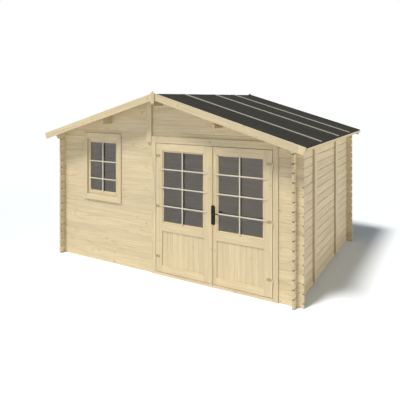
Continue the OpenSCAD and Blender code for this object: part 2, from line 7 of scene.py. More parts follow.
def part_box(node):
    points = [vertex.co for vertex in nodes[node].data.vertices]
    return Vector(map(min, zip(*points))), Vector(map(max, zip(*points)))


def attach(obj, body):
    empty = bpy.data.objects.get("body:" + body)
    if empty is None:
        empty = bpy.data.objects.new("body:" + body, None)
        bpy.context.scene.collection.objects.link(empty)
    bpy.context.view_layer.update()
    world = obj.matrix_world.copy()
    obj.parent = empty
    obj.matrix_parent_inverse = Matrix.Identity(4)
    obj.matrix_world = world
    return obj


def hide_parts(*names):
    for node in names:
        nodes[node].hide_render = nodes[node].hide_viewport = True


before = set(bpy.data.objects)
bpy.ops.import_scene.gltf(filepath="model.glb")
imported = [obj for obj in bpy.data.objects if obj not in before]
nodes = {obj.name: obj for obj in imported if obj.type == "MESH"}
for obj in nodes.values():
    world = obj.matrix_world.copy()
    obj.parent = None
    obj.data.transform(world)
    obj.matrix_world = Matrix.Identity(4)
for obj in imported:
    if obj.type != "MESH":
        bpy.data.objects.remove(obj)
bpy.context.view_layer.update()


# Log walls and gables. Planed spruce logs, 28 mm thick, with tongue, groove and chamfered
# edges. They cross at the corners in notches, each wall half a course above the other, and
# every log has its own tint, rings and knots. Shade is painted into the corner notches and into
# the grooves between the side logs, and light into the grooves between the front logs.
COURSE = 0.113
FRONT_LOG_END = 2.0
SIDE_LOG_END = 1.5
PALE_WOOD = (0.69, 0.575, 0.370, 1)
LATE_WOOD = (0.57, 0.425, 0.235, 1)
KNOT_WOOD = (0.36, 0.22, 0.105, 1)
# Brown of the painted shade in grooves, notches and on narrow edges.
SHADE_BROWN = (0.30, 0.235, 0.14, 1)
# Pale wood of painted light: in the front logs' grooves and on the barge boards' top edges.
PAINTED_LIGHT_WOOD = (0.92, 0.81, 0.60, 1)
YEAR_W = 0.0042
KNOTTY = 0.6


def shade(tree, kind, sockets=None, **settings):
    """Node of a kind in a tree, with its settings, and its inputs set or linked by name or number."""
    item = tree.nodes.new(kind)
    for key, value in settings.items():
        setattr(item, key, value)
    for key, value in (sockets or {}).items():
        if isinstance(value, bpy.types.NodeSocket):
            tree.links.new(value, item.inputs[key])
        else:
            item.inputs[key].default_value = value
    return item


def sum_of(tree, operation, *values):
    """Value of a calculation on numbers or sockets."""
    return shade(tree, "ShaderNodeMath", dict(enumerate(values)), operation=operation).outputs[0]


def vector_of(tree, operation, *values):
    """Vector of a calculation on vectors or sockets."""
    made = shade(tree, "ShaderNodeVectorMath", dict(enumerate(values)), operation=operation)
    return made.outputs[0]


def dot_of(tree, first, second):
    """Dot product of two vectors or sockets."""
    product = shade(tree, "ShaderNodeVectorMath", {0: first, 1: second}, operation="DOT_PRODUCT")
    return product.outputs["Value"]


def ramp_of(tree, value, low, high, to_low=0.0, to_high=1.0):
    """Smooth step of a value between two limits."""
    return shade(tree, "ShaderNodeMapRange", {0: value, 1: low, 2: high, 3: to_low, 4: to_high},
                 interpolation_type="SMOOTHSTEP").outputs[0]


def mixed(tree, factor, first, second):
    """Colour between two colours."""
    return shade(tree, "ShaderNodeMix", {0: factor, 6: first, 7: second}, data_type="RGBA").outputs[2]


def noise_of(tree, vector, scale, detail):
    """Value of a noise over a vector."""
    made = shade(tree, "ShaderNodeTexNoise", {"Vector": vector, "Scale": scale, "Detail": detail})
    return made.outputs[0]


def group_with(name, inputs, outputs):
    """Empty shader group with named inputs and outputs, and its input and output nodes."""
    group = bpy.data.node_groups.new(name, "ShaderNodeTree")
    for key, kind, value in inputs:
        socket = group.interface.new_socket(key, in_out="INPUT", socket_type=kind)
        if value is not None:
            socket.default_value = value
    for key, kind in outputs:
        group.interface.new_socket(key, in_out="OUTPUT", socket_type=kind)
    return group, group.nodes.new("NodeGroupInput"), group.nodes.new("NodeGroupOutput")


def make_spruce_grain():
    """Grain of a spruce board: rings about a pith beside the board, streaks, fibres, knots and painted
    shade.
    """
    g, given, made = group_with(
        "Spruce grain",
        [("Grain", "NodeSocketVector", None), ("Board", "NodeSocketFloat", 0.0),
         ("End", "NodeSocketFloat", 0.0), ("Dust", "NodeSocketFloat", 0.0),
         ("Pale", "NodeSocketColor", PALE_WOOD), ("Late", "NodeSocketColor", LATE_WOOD),
         ("Knot", "NodeSocketColor", KNOT_WOOD), ("Knot share", "NodeSocketFloat", 0.30)],
        [("Color", "NodeSocketColor"), ("Roughness", "NodeSocketFloat"), ("Height", "NodeSocketFloat")])
    grain = given.outputs["Grain"]
    chance = shade(g, "ShaderNodeTexWhiteNoise", {"W": given.outputs["Board"]}, noise_dimensions="1D")
    luck = shade(g, "ShaderNodeSeparateColor", {0: chance.outputs["Color"]}).outputs
    moved = vector_of(g, "MULTIPLY_ADD", chance.outputs["Color"], (31.0, 17.0, 11.0), grain)

    slow = vector_of(g, "MULTIPLY", moved, (0.6, 5.0, 5.0))
    drift = shade(g, "ShaderNodeTexNoise", {"Vector": slow, "Scale": 1.0, "Detail": 2.0})
    drifted = vector_of(g, "MULTIPLY_ADD", drift.outputs["Color"], (0.0, 0.05, 0.05), grain)
    pith = shade(g, "ShaderNodeCombineXYZ",
                 {1: sum_of(g, "MULTIPLY_ADD", luck[0], 0.16, -0.08),
                  2: sum_of(g, "MULTIPLY_ADD", luck[1], 0.06, 0.05)}).outputs[0]
    beside = vector_of(g, "MULTIPLY", vector_of(g, "SUBTRACT", drifted, pith), (0.0, 1.0, 1.0))
    radius = shade(g, "ShaderNodeVectorMath", {0: beside}, operation="LENGTH").outputs["Value"]

    spots = shade(g, "ShaderNodeTexVoronoi", {"Vector": moved, "Scale": 5.2}, voronoi_dimensions="2D")
    spot = shade(g, "ShaderNodeSeparateColor", {0: spots.outputs["Color"]}).outputs
    away = sum_of(g, "MULTIPLY_ADD", noise_of(g, moved, 60.0, 2.0), 0.03, spots.outputs["Distance"])
    share = sum_of(g, "DIVIDE", away, sum_of(g, "MULTIPLY_ADD", spot[0], 0.045, 0.040))
    there = sum_of(g, "LESS_THAN", spot[1], given.outputs["Knot share"])
    knot = sum_of(g, "MULTIPLY", there, ramp_of(g, share, 0.75, 1.05, 1.0, 0.0))
    halo = sum_of(g, "MULTIPLY", there, ramp_of(g, share, 0.8, 3.2, 1.0, 0.0))

    ring_at = sum_of(g, "DIVIDE", sum_of(g, "MULTIPLY_ADD", halo, 0.006, radius), YEAR_W)
    year = shade(g, "ShaderNodeTexNoise", {"W": ring_at, "Scale": 0.35, "Detail": 1.0},
                 noise_dimensions="1D")
    ring = sum_of(g, "POWER", sum_of(g, "FRACT", ring_at), 3.0)
    late = sum_of(g, "MULTIPLY", ring, ramp_of(g, year.outputs[0], 0.3, 0.7, 0.22, 0.72))
    fibre = noise_of(g, vector_of(g, "MULTIPLY", moved, (14.0, 900.0, 900.0)), 1.0, 2.0)
    cloud = noise_of(g, vector_of(g, "MULTIPLY", moved, (1.6, 9.0, 9.0)), 1.0, 3.0)
    streak = noise_of(g, vector_of(g, "MULTIPLY", moved, (1.7, 46.0, 46.0)), 1.0, 3.0)

    wood = mixed(g, late, given.outputs["Pale"], given.outputs["Late"])
    wood = mixed(g, sum_of(g, "MULTIPLY", halo, 0.35), wood, given.outputs["Late"])
    tint = sum_of(g, "MULTIPLY_ADD", luck[2], 0.10, 0.93)
    tint = sum_of(g, "MULTIPLY", tint, ramp_of(g, cloud, 0.25, 0.75, 0.95, 1.05))
    tint = sum_of(g, "MULTIPLY", tint, ramp_of(g, streak, 0.3, 0.7, 0.93, 1.05))
    tint = sum_of(g, "MULTIPLY", tint, ramp_of(g, fibre, 0.3, 0.7, 0.96, 1.03))
    tint = sum_of(g, "MULTIPLY", tint, sum_of(g, "MULTIPLY_ADD", given.outputs["End"], -0.08, 1.0))
    wood = shade(g, "ShaderNodeVectorMath", {0: wood, "Scale": tint}, operation="SCALE").outputs[0]
    wood = mixed(g, sum_of(g, "MULTIPLY", knot, 0.5), wood, given.outputs["Knot"])
    # Painted shade: brown mixed in where a material asks for shade in grooves, notches or on edges.
    wood = mixed(g, given.outputs["Dust"], wood, SHADE_BROWN)
    g.links.new(wood, made.inputs["Color"])
    g.links.new(ramp_of(g, late, 0.0, 0.8, 0.64, 0.50), made.inputs["Roughness"])
    height = sum_of(g, "MULTIPLY_ADD", fibre, 0.5, sum_of(g, "MULTIPLY", late, 0.6))
    g.links.new(height, made.inputs["Height"])
    return g


spruce_grain = make_spruce_grain()
AXES = {"X": 0, "Y": 1, "Z": 2}


def new_material(name):
    """Material, its tree and its shader."""
    material = bpy.data.materials.new(name)
    material.use_nodes = True
    tree = material.node_tree
    return material, tree, tree.nodes["Principled BSDF"]


def lay_grain(tree, shader, sockets):
    """Puts the spruce grain on a shader."""
    wood = shade(tree, "ShaderNodeGroup", sockets, node_tree=spruce_grain)
    bump = shade(tree, "ShaderNodeBump",
                 {"Strength": 0.35, "Distance": 0.0006, "Height": wood.outputs["Height"]})
    tree.links.new(wood.outputs["Color"], shader.inputs["Base Color"])
    tree.links.new(wood.outputs["Roughness"], shader.inputs["Roughness"])
    tree.links.new(bump.outputs[0], shader.inputs["Normal"])
    shader.inputs["Specular IOR Level"].default_value = 0.3


def spruce(name, order, split, pitch=0.0, shift=0.0, log_end=0.0, groove_shade_level=0.0, slope=0.0,
           fresh=0.0, edge_shade_level=0.0):
    """Spruce for the frame's own pieces. Order names the axes along, across and through a board,
    split tells apart pieces on either side, pitch and shift give boards that lie side by side,
    log_end places painted shade in the notches there, the groove shade level paints shade into the
    grooves, fresh paints light into the grooves or a highlight on the top edge, the edge shade level
    paints shade on the narrow edges and ends, and slope turns the grain of knotty boards down both
    sides of the roof."""
    material, tree, shader = new_material(name)
    place = shade(tree, "ShaderNodeTexCoord").outputs
    spot = place["Object"]
    if slope:
        x, y, z = shade(tree, "ShaderNodeSeparateXYZ", {0: spot}).outputs
        folded = shade(tree, "ShaderNodeCombineXYZ", {0: sum_of(tree, "ABSOLUTE", x), 1: y, 2: z})
        spot = shade(tree, "ShaderNodeVectorRotate", {"Vector": folded.outputs[0], "Angle": -slope},
                     rotation_type="Y_AXIS").outputs[0]
    parts = shade(tree, "ShaderNodeSeparateXYZ", {0: spot}).outputs
    along, across, through = (parts[AXES[letter]] for letter in order)
    sides = vector_of(tree, "FLOOR", vector_of(tree, "MULTIPLY", place["Object"], split))
    board = dot_of(tree, sides, (53.0, 71.0, 97.0))
    axis = [float(letter == order[0] and not slope) for letter in "XYZ"]
    end = sum_of(tree, "ABSOLUTE", dot_of(tree, place["Normal"], axis))
    sockets = {"End": end}
    # Painted shade on the narrow edges and the end faces.
    if edge_shade_level:
        narrow = [float(letter == order[1]) for letter in "XYZ"]
        edge = sum_of(tree, "ABSOLUTE", dot_of(tree, place["Normal"], narrow))
        sockets["Dust"] = ramp_of(tree, sum_of(tree, "MAXIMUM", edge, end), 0.5, 0.9, 0.0, edge_shade_level)
    if slope:
        sockets["Knot share"] = KNOTTY
        # Painted highlight: the top edges of the boards down the slope are paler.
        top = dot_of(tree, place["Normal"], (0.0, 0.0, 1.0))
        pale = ramp_of(tree, top, 0.7, 0.9, 0.0, fresh)
        sockets["Pale"] = mixed(tree, pale, PALE_WOOD, PAINTED_LIGHT_WOOD)
    if pitch:
        course = sum_of(tree, "MULTIPLY_ADD", across, 1 / pitch, shift)
        board = sum_of(tree, "ADD", sum_of(tree, "FLOOR", course), board)
        across = sum_of(tree, "MULTIPLY_ADD", sum_of(tree, "FRACT", course), pitch, -pitch / 2)
        seam = sum_of(tree, "SUBTRACT", pitch / 2, sum_of(tree, "ABSOLUTE", across))
        # Painted shade in the corner notches, near the seams at the logs' ends and most on their end
        # faces.
        notch_shade = sum_of(tree, "MULTIPLY", ramp_of(tree, seam, 0.006, 0.016, 0.75, 0.0),
                       ramp_of(tree, sum_of(tree, "ABSOLUTE", along), log_end - 0.05, log_end - 0.01))
        notch_shade = sum_of(tree, "MULTIPLY", notch_shade, sum_of(tree, "MULTIPLY_ADD", end, 0.7, 0.3))
        # Painted shade in the grooves between logs.
        groove_shade = ramp_of(tree, seam, 0.003, 0.0065, groove_shade_level, 0.0)
        sockets["Dust"] = sum_of(tree, "MAXIMUM", groove_shade, notch_shade)
        # Painted light: the grooves are paler, which lightens their shade.
        pale = ramp_of(tree, seam, 0.004, 0.009, fresh, 0.0)
        sockets["Pale"] = mixed(tree, pale, PALE_WOOD, PAINTED_LIGHT_WOOD)
    sockets["Grain"] = shade(tree, "ShaderNodeCombineXYZ", {0: along, 1: across, 2: through}).outputs[0]
    sockets["Board"] = board
    lay_grain(tree, shader, sockets)
    return material


def dress(material, *names):
    """Gives pieces of the frame their finish."""
    for name in names:
        nodes[name].data.materials.clear()
        nodes[name].data.materials.append(material)


# The front logs get painted light in their grooves, the side logs painted shade, and both painted shade
# in the corner notches.
dress(spruce("Spruce logs along the front", "XZY", (0.0, 0.5, 0.0), COURSE, 0.5, FRONT_LOG_END,
             fresh=0.3),
      "rear_wall", "front_wall_left", "front_wall_right", "front_gable", "rear_gable")
dress(spruce("Spruce logs along the sides", "YZX", (0.5, 0.0, 0.0), COURSE, 0.0, SIDE_LOG_END, 0.45),
      "left_wall", "right_wall")


# Floor. Sawn bearers lie on the ground, and tongued spruce boards are nailed across them,
# with an open joint of a millimetre between two boards.
FLOOR_BOARD_W = 0.0955
BOARD_EDGE = 0.0018
# Painted shade on the rounded edges of planed boards, and on the narrow edges that carry a mark.
EDGE_SHADE = 0.09
FLOOR_JOINT = 0.001
DEPTH_BIAS = 0.005
dress(spruce("Spruce bearers", "XYZ", (0.0, 1.7, 0.0)), "floor_bearers")


def make_timber():
    """Spruce for boards that carry their own grain, board number and end marks, and edge marks for
    painted shade.
    """
    material, tree, shader = new_material("Planed spruce boards")
    read = {key: shade(tree, "ShaderNodeAttribute", attribute_name=key).outputs
            for key in ("grain", "board", "end", "edge")}
    lay_grain(tree, shader, {"Grain": read["grain"]["Vector"], "Board": read["board"]["Fac"],
                             "End": read["end"]["Fac"],
                             "Dust": sum_of(tree, "MULTIPLY", read["edge"]["Fac"], EDGE_SHADE)})
    return material


planed_boards = make_timber()


def board_shape(boards, edge, edge_shade_level=0.0):
    """Mesh of boards with rounded edges, each from a low to a high corner with its grain along
    one axis. A fourth value may turn and place the board. The rounded edges are marked for
    painted shade, and the narrow edges get the edge shade level as their mark. The thinner side
    goes through the board, or the one along Y where both are about the same."""
    shape = bmesh.new()
    grain = shape.verts.layers.float_vector.new("grain")
    number = shape.verts.layers.float.new("board")
    end = shape.faces.layers.float.new("end")
    edge_shade_mask = shape.faces.layers.float.new("edge")
    for count, (low, high, letter, *turn) in enumerate(boards):
        low, high = Vector(low), Vector(high)
        size, along = high - low, AXES[letter]
        rest = [k for k in range(3) if k != along]
        through, across = sorted(rest, key=lambda k: size[k] - DEPTH_BIAS * (k == AXES["Y"]))
        laid = set(shape.verts)
        made = bmesh.ops.create_cube(shape, matrix=Matrix.LocRotScale((low + high) / 2, None, size))
        edges = list({e for v in made["verts"] for e in v.link_edges})
        bmesh.ops.bevel(shape, geom=edges, offset=edge, segments=2, profile=0.5, affect="EDGES")
        fresh = [v for v in shape.verts if v not in laid]
        for v in fresh:
            local = v.co - (low + high) / 2
            v[grain] = (local[along], local[across], local[through])
            v[number] = count
        shape.normal_update()
        for f in {f for v in fresh for f in v.link_faces}:
            f[end] = float(abs(f.normal[along]) > 0.7)
            # Marks for painted shade: one on the rounded edges, the edge shade level on the narrow
            # edges.
            f[edge_shade_mask] = float(max(abs(value) for value in f.normal) < 0.99)
            if abs(f.normal[across]) > 0.9:
                f[edge_shade_mask] = edge_shade_level
        if turn:
            bmesh.ops.transform(shape, matrix=turn[0], verts=fresh)
    return shape


def add_piece(name, shape, material, body, slot, *stands_for):
    """Object from a mesh, in place on its body, standing for pieces of the frame where named."""
    if isinstance(shape, bmesh.types.BMesh):
        mesh = bpy.data.meshes.new(name)
        shape.to_mesh(mesh)
        shape.free()
        shape = mesh
    shape.materials.clear()
    shape.materials.append(material)
    piece = bpy.data.objects.new(name, shape)
    bpy.context.scene.collection.objects.link(piece)
    if stands_for:
        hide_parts(*stands_for)
    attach(piece, body)


low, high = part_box("floor_boards")
jamb_low, jamb_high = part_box("left_jamb")[0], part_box("right_jamb")[1]
count = round((high[0] - low[0]) / FLOOR_BOARD_W)
step = (high[0] - low[0]) / count
boards = []
for k in range(count):
    x0 = low[0] + k * step + FLOOR_JOINT / 2
    x1 = x0 + step - FLOOR_JOINT
    at_door = x1 > jamb_low[0] and x0 < jamb_high[0]
    y0 = jamb_high[1] + FLOOR_JOINT if at_door else low[1]
    boards.append(((x0, y0, low[2]), (x1, high[1], high[2]), "Y"))
add_piece("laid_floor", board_shape(boards, BOARD_EDGE), planed_boards, "shed", "planed_spruce",
          "floor_boards")


# Window. A planed frame cased before and behind the logs, one fixed sash in it, a pane of
# float glass, and cream glazing bars that lie on the sash and cross over the glass.
CASING_T = 0.0166
CORE_W = 0.032
CASING_EDGE = 0.0025
SASH_EDGE = 0.003
GROOVE = 0.008
BAR_W = 0.0185
BAR_T = 0.008
BAR_EDGE = 0.0025
BAR_LAP = 0.014
BAR_BEHIND = 0.001
SEAT = 0.0004
# Painted shade on the narrow edges of the casings and the sash, round the openings.
CASING_EDGE_SHADE = 3.2
SASH_EDGE_SHADE = 4.8
WINDOW_BAR_LEVELS = (1.496, 1.233)


def ring(x, y, z, faces):
    """Four boards round an opening: two uprights, and rails of their own widths between them."""
    left, right, foot, top = faces
    return [((x[0] - left, y[0], z[0] - foot), (x[0], y[1], z[1] + top), "Z"),
            ((x[1], y[0], z[0] - foot), (x[1] + right, y[1], z[1] + top), "Z"),
            ((x[0], y[0], z[1]), (x[1], y[1], z[1] + top), "X"),
            ((x[0], y[0], z[0] - foot), (x[1], y[1], z[0]), "X")]


low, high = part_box("window_frame")
sash_low, sash_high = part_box("window_sash")
clear_x = (sash_low[0] - SEAT, sash_high[0] + SEAT)
clear_z = (sash_low[2] - SEAT, sash_high[2] + SEAT)
casing = (clear_x[0] - low[0], high[0] - clear_x[1], clear_z[0] - low[2], high[2] - clear_z[1])
boards = ring(clear_x, (low[1], low[1] + CASING_T), clear_z, casing)
boards += ring(clear_x, (high[1] - CASING_T, high[1]), clear_z, casing)
boards += ring(clear_x, (low[1] + CASING_T, high[1] - CASING_T), clear_z, (CORE_W,) * 4)
add_piece("window_casings", board_shape(boards, CASING_EDGE, CASING_EDGE_SHADE), planed_boards, "shed",
          "planed_spruce", "window_frame")

pane_low, pane_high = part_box("window_glass")
seen_x = (pane_low[0] + GROOVE, pane_high[0] - GROOVE)
seen_z = (pane_low[2] + GROOVE, pane_high[2] - GROOVE)
faces = (seen_x[0] - sash_low[0], sash_high[0] - seen_x[1],
         seen_z[0] - sash_low[2], sash_high[2] - seen_z[1])
boards = ring(seen_x, (sash_low[1], sash_high[1]), seen_z, faces)
add_piece("window_sash_boards", board_shape(boards, SASH_EDGE, SASH_EDGE_SHADE), planed_boards, "shed",
          "planed_spruce", "window_sash")


def make_paint(name, fresh, thin, dirt, shaded_back=None):
    """Paint over planed wood, thinner along the brush marks and a little dirty. The back of a
    piece may have a colour of its own: bare wood darkened with painted shade."""
    material, tree, shader = new_material(name)
    place = shade(tree, "ShaderNodeTexCoord").outputs
    brush = noise_of(tree, place["Object"], 60.0, 3.0)
    blot = noise_of(tree, place["Object"], 7.0, 2.0)
    paint = mixed(tree, ramp_of(tree, brush, 0.3, 0.7), fresh, thin)
    paint = mixed(tree, ramp_of(tree, blot, 0.45, 0.8, 0.0, 0.35), paint, dirt)
    # Painted shade on the backs, which face the glass.
    if shaded_back:
        facing = dot_of(tree, place["Normal"], (0.0, 1.0, 0.0))
        paint = mixed(tree, ramp_of(tree, facing, 0.4, 0.8), paint, shaded_back)
    tree.links.new(paint, shader.inputs["Base Color"])
    tree.links.new(ramp_of(tree, brush, 0.3, 0.7, 0.42, 0.55), shader.inputs["Roughness"])
    bump = shade(tree, "ShaderNodeBump", {"Strength": 0.2, "Distance": 0.0004, "Height": brush})
    tree.links.new(bump.outputs[0], shader.inputs["Normal"])
    return material


# The bars' backs are bare wood darkened with painted shade, which the glass mirrors as dark strips.
cream_paint = make_paint("Cream painted bars", (0.62, 0.58, 0.465, 1), (0.58, 0.54, 0.42, 1),
                         (0.50, 0.45, 0.34, 1), (0.33, 0.25, 0.14, 1))


def lattice(name, y, uprights, x, levels, z, body):
    """Glazing bars: level ones through their length, and uprights just behind their faces."""
    half = BAR_W / 2
    boards = [((x[0], y - BAR_T, level - half), (x[1], y, level + half), "X") for level in levels]
    boards += [((at - half, y - BAR_T + BAR_BEHIND, z[0]), (at + half, y, z[1]), "Z") for at in uprights]
    add_piece(name, board_shape(boards, BAR_EDGE), cream_paint, body, "planed_spruce")


middle = (seen_x[0] + seen_x[1]) / 2
lattice("window_bars", sash_low[1], [middle], (seen_x[0] - BAR_LAP, seen_x[1] + BAR_LAP),
        WINDOW_BAR_LEVELS, (seen_z[0] - BAR_LAP, seen_z[1] + BAR_LAP), "shed")


def make_glass():
    """Clear float glass that lets the light through into the room."""
    material, tree, shader = new_material("Clear glass")
    shader.inputs["Base Color"].default_value = (0.74, 0.67, 0.58, 1)
    shader.inputs["Roughness"].default_value = 0.0
    shader.inputs["IOR"].default_value = 1.7
    shader.inputs["Transmission Weight"].default_value = 1.0
    path = shade(tree, "ShaderNodeLightPath")
    clear = shade(tree, "ShaderNodeBsdfTransparent", {"Color": (0.95, 0.96, 0.97, 1)})
    blend = shade(tree, "ShaderNodeMixShader",
                  {0: path.outputs["Is Shadow Ray"], 1: shader.outputs[0], 2: clear.outputs[0]})
    tree.links.new(blend.outputs[0], tree.nodes["Material Output"].inputs["Surface"])
    return material


dress(make_glass(), "left_leaf_glass", "right_leaf_glass", "window_glass")


# Door frame. Jambs, head and sill of planed spruce hold the logs at the opening, with a stop
# bead behind the leaves and a closing strip on the right leaf's meeting edge.
upright = spruce("Upright spruce boards", "ZXY", (0.5, 0.9, 0.0))
dress(upright, "left_jamb", "right_jamb", "closing_strip", "door_stops")
dress(spruce("Level spruce rails", "XZY", (0.0, 0.0, 1.0)), "door_head", "door_sill")


# Door leaves. Each has two stiles and three rails, a panel of eight matched boards below and
# a pane held by beads above, with cream bars laid over the glass and on to the stiles.
BEAD_W = 0.021
BEAD_SET = 0.008
LEAF_EDGE = 0.002
PANEL_BOARDS = 8
PANEL_EDGE = 0.0035
# Painted shade on the beads' narrow edges round the glass.
BEAD_EDGE_SHADE = 6.4
LEAF_BAR_LAP = 0.012
LEAF_BAR_LEVELS = (1.473, 1.222, 0.967)
LEAF_BAR_ENDS = {"left": (-0.032, 0.719), "right": (0.842, 1.557)}
for side, ends in LEAF_BAR_ENDS.items():
    low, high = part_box(side + "_leaf_frame")
    pane_low, pane_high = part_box(side + "_leaf_glass")
    panel_low, panel_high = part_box(side + "_leaf_panel")
    x0, x1 = panel_low[0] + GROOVE, panel_high[0] - GROOVE
    open_z = (pane_low[2] - BEAD_W + GROOVE, pane_high[2] + BEAD_W - GROOVE)
    panel_z = (panel_low[2] + GROOVE, panel_high[2] - GROOVE)
    y0, y1 = low[1], high[1]
    boards = [((low[0], y0, low[2]), (x0, y1, high[2]), "Z"),
              ((x1, y0, low[2]), (high[0], y1, high[2]), "Z"),
              ((x0, y0, open_z[1]), (x1, y1, high[2]), "X"),
              ((x0, y0, low[2]), (x1, y1, panel_z[0]), "X"),
              ((x0, y0, panel_z[1]), (x1, y1, open_z[0]), "X")]
    inner_x, inner_z = (x0 + BEAD_W, x1 - BEAD_W), (open_z[0] + BEAD_W, open_z[1] - BEAD_W)
    add_piece(side + "_leaf_timbers", board_shape(boards, LEAF_EDGE), planed_boards, side + "_leaf",
              "planed_spruce", side + "_leaf_frame")
    boards = ring(inner_x, (y0 + BEAD_SET, y1 - BEAD_SET), inner_z, (BEAD_W,) * 4)
    add_piece(side + "_leaf_beads", board_shape(boards, LEAF_EDGE, BEAD_EDGE_SHADE), planed_boards,
              side + "_leaf", "planed_spruce")
    width = (x1 - x0) / PANEL_BOARDS
    boards = [((x0 + k * width, panel_low[1], panel_low[2]),
               (x0 + (k + 1) * width, panel_high[1], panel_high[2]), "Z")
              for k in range(PANEL_BOARDS)]
    add_piece(side + "_leaf_boards", board_shape(boards, PANEL_EDGE), planed_boards, side + "_leaf",
              "planed_spruce", side + "_leaf_panel")
    lattice(side + "_leaf_bars", y0, [(inner_x[0] + inner_x[1]) / 2], ends, LEAF_BAR_LEVELS,
            (inner_z[0] - LEAF_BAR_LAP, inner_z[1] + LEAF_BAR_LAP), side + "_leaf")


# Hinges. Barrel hinges in yellow zinc, three to a leaf, with a pin in each barrel. Their straps
# lie on the jambs and the leaves, and four screws hold each strap of a leaf.
SCREW_R = 0.0038
# Depth in front of which the hinges are barrels, and the blend of their painted highlight.
BARREL_Y = -1.431
BARREL_BLEND = 0.003
STRAP_T = 0.0025
STRAP_FROM_TOP = 0.016
STRAP_OVER_MIDDLE = 0.003
STRAP_FROM_FOOT = 0.022
SCREW_AWAY = (0.010, 0.044)
SCREW_RISE = (-0.008, 0.008)
FRONT = Vector((0, -1, 0))
BACK = Vector((0, 1, 0))


def make_zinc():
    """Yellow passivated zinc: a patchy, slightly worn metal, with a painted highlight on the barrels."""
    material, tree, shader = new_material("Yellow zinc")
    place = shade(tree, "ShaderNodeTexCoord").outputs["Object"]
    cloud = noise_of(tree, place, 90.0, 3.0)
    speck = noise_of(tree, place, 900.0, 2.0)
    coat = mixed(tree, ramp_of(tree, cloud, 0.3, 0.7), (0.44, 0.37, 0.20, 1), (0.36, 0.30, 0.16, 1))
    depth = shade(tree, "ShaderNodeSeparateXYZ", {0: place}).outputs[1]
    # Painted highlight: the barrels are much paler than the straps.
    barrel = ramp_of(tree, depth, BARREL_Y - BARREL_BLEND, BARREL_Y, 1.0, 0.0)
    coat = mixed(tree, barrel, coat, (0.74, 0.64, 0.40, 1))
    tree.links.new(coat, shader.inputs["Base Color"])
    shader.inputs["Metallic"].default_value = 0.3
    tree.links.new(ramp_of(tree, speck, 0.3, 0.7, 0.36, 0.52), shader.inputs["Roughness"])
    return material


yellow_zinc = make_zinc()
dress(yellow_zinc, "left_jamb_hinges", "left_leaf_hinges", "right_jamb_hinges", "right_leaf_hinges")


def grown(name, shape, tree, **values):
    """Plain mesh that a geometry tree makes from a starting shape."""
    mesh = bpy.data.meshes.new(name)
    shape.to_mesh(mesh)
    shape.free()
    start = bpy.data.objects.new(name, mesh)
    bpy.context.scene.collection.objects.link(start)
    step = start.modifiers.new("grow", "NODES")
    step.node_group = tree
    for socket in tree.interface.items_tree:
        key = socket.name.replace(" ", "_").lower()
        if socket.in_out == "INPUT" and key in values:
            step[socket.identifier] = values[key]
    graph = bpy.context.evaluated_depsgraph_get()
    result = bpy.data.meshes.new_from_object(start.evaluated_get(graph), preserve_all_data_layers=True,
                                             depsgraph=graph)
    bpy.data.objects.remove(start)
    bpy.data.meshes.remove(mesh)
    return result


def skin(shape, loops):
    """Closed skin over loops of points, from the lowest to the highest."""
    for under, over in zip(loops, loops[1:]):
        for k in range(len(under)):
            after = (k + 1) % len(under)
            shape.faces.new((under[k], under[after], over[after], over[k]))
    shape.faces.new(loops[-1])
    shape.faces.new(reversed(loops[0]))


def head_shape(crossed):
    """Head of a fastener with a radius of one: a low dome, or a flat head with a cross recess."""
    shape = bmesh.new()
    sides = 16 if crossed else 12
    if crossed:
        star = (0.58, 0.24, 0.20, 0.24)
        recess = [0.8 * radius for radius in star]
        rings = [(1.0, 0.0), (1.0, 0.14), (0.88, 0.34), (star, 0.40), (recess, 0.10)]
    else:
        rings = [(1.0, 0.0), (1.0, 0.16), (0.80, 0.34), (0.40, 0.44)]
    loops = []
    for radius, height in rings:
        spread = radius if isinstance(radius, (list, tuple)) else (radius,) * 4
        loops.append([shape.verts.new((spread[k % 4] * math.cos(math.tau * k / sides),
                                       spread[k % 4] * math.sin(math.tau * k / sides), height))
                      for k in range(sides)])
    skin(shape, loops)
    return shape


def make_fastener_tree():
    """Geometry tree that sets a head on every point, facing as the point says, at a random turn."""
    tree = bpy.data.node_groups.new("Fasteners", "GeometryNodeTree")
    for key, kind in (("Places", "NodeSocketGeometry"), ("Head", "NodeSocketObject"),
                      ("Radius", "NodeSocketFloat"), ("Finish", "NodeSocketMaterial")):
        tree.interface.new_socket(key, in_out="INPUT", socket_type=kind)
    tree.interface.new_socket("Heads", in_out="OUTPUT", socket_type="NodeSocketGeometry")
    given = tree.nodes.new("NodeGroupInput").outputs
    head = shade(tree, "GeometryNodeObjectInfo", {"Object": given["Head"]})
    facing = shade(tree, "GeometryNodeInputNamedAttribute", {"Name": "facing"},
                   data_type="FLOAT_VECTOR")
    aimed = shade(tree, "FunctionNodeAlignRotationToVector", {"Vector": facing.outputs[0]}, axis="Z")
    spin = shade(tree, "FunctionNodeRandomValue", {"Max": (0.0, 0.0, math.tau), "Seed": 7},
                 data_type="FLOAT_VECTOR")
    turn = shade(tree, "FunctionNodeEulerToRotation", {0: spin.outputs[0]})
    turned = shade(tree, "FunctionNodeRotateRotation",
                   {"Rotation": aimed.outputs[0], "Rotate By": turn.outputs[0]}, rotation_space="LOCAL")
    size = shade(tree, "ShaderNodeCombineXYZ", {k: given["Radius"] for k in range(3)})
    spread = shade(tree, "GeometryNodeInstanceOnPoints",
                   {"Points": given["Places"], "Instance": head.outputs["Geometry"],
                    "Rotation": turned.outputs[0], "Scale": size.outputs[0]})
    real = shade(tree, "GeometryNodeRealizeInstances", {0: spread.outputs[0]})
    done = shade(tree, "GeometryNodeSetMaterial",
                 {"Geometry": real.outputs[0], "Material": given["Finish"]})
    tree.links.new(done.outputs[0], tree.nodes.new("NodeGroupOutput").inputs[0])
    return tree


fastener_tree = make_fastener_tree()


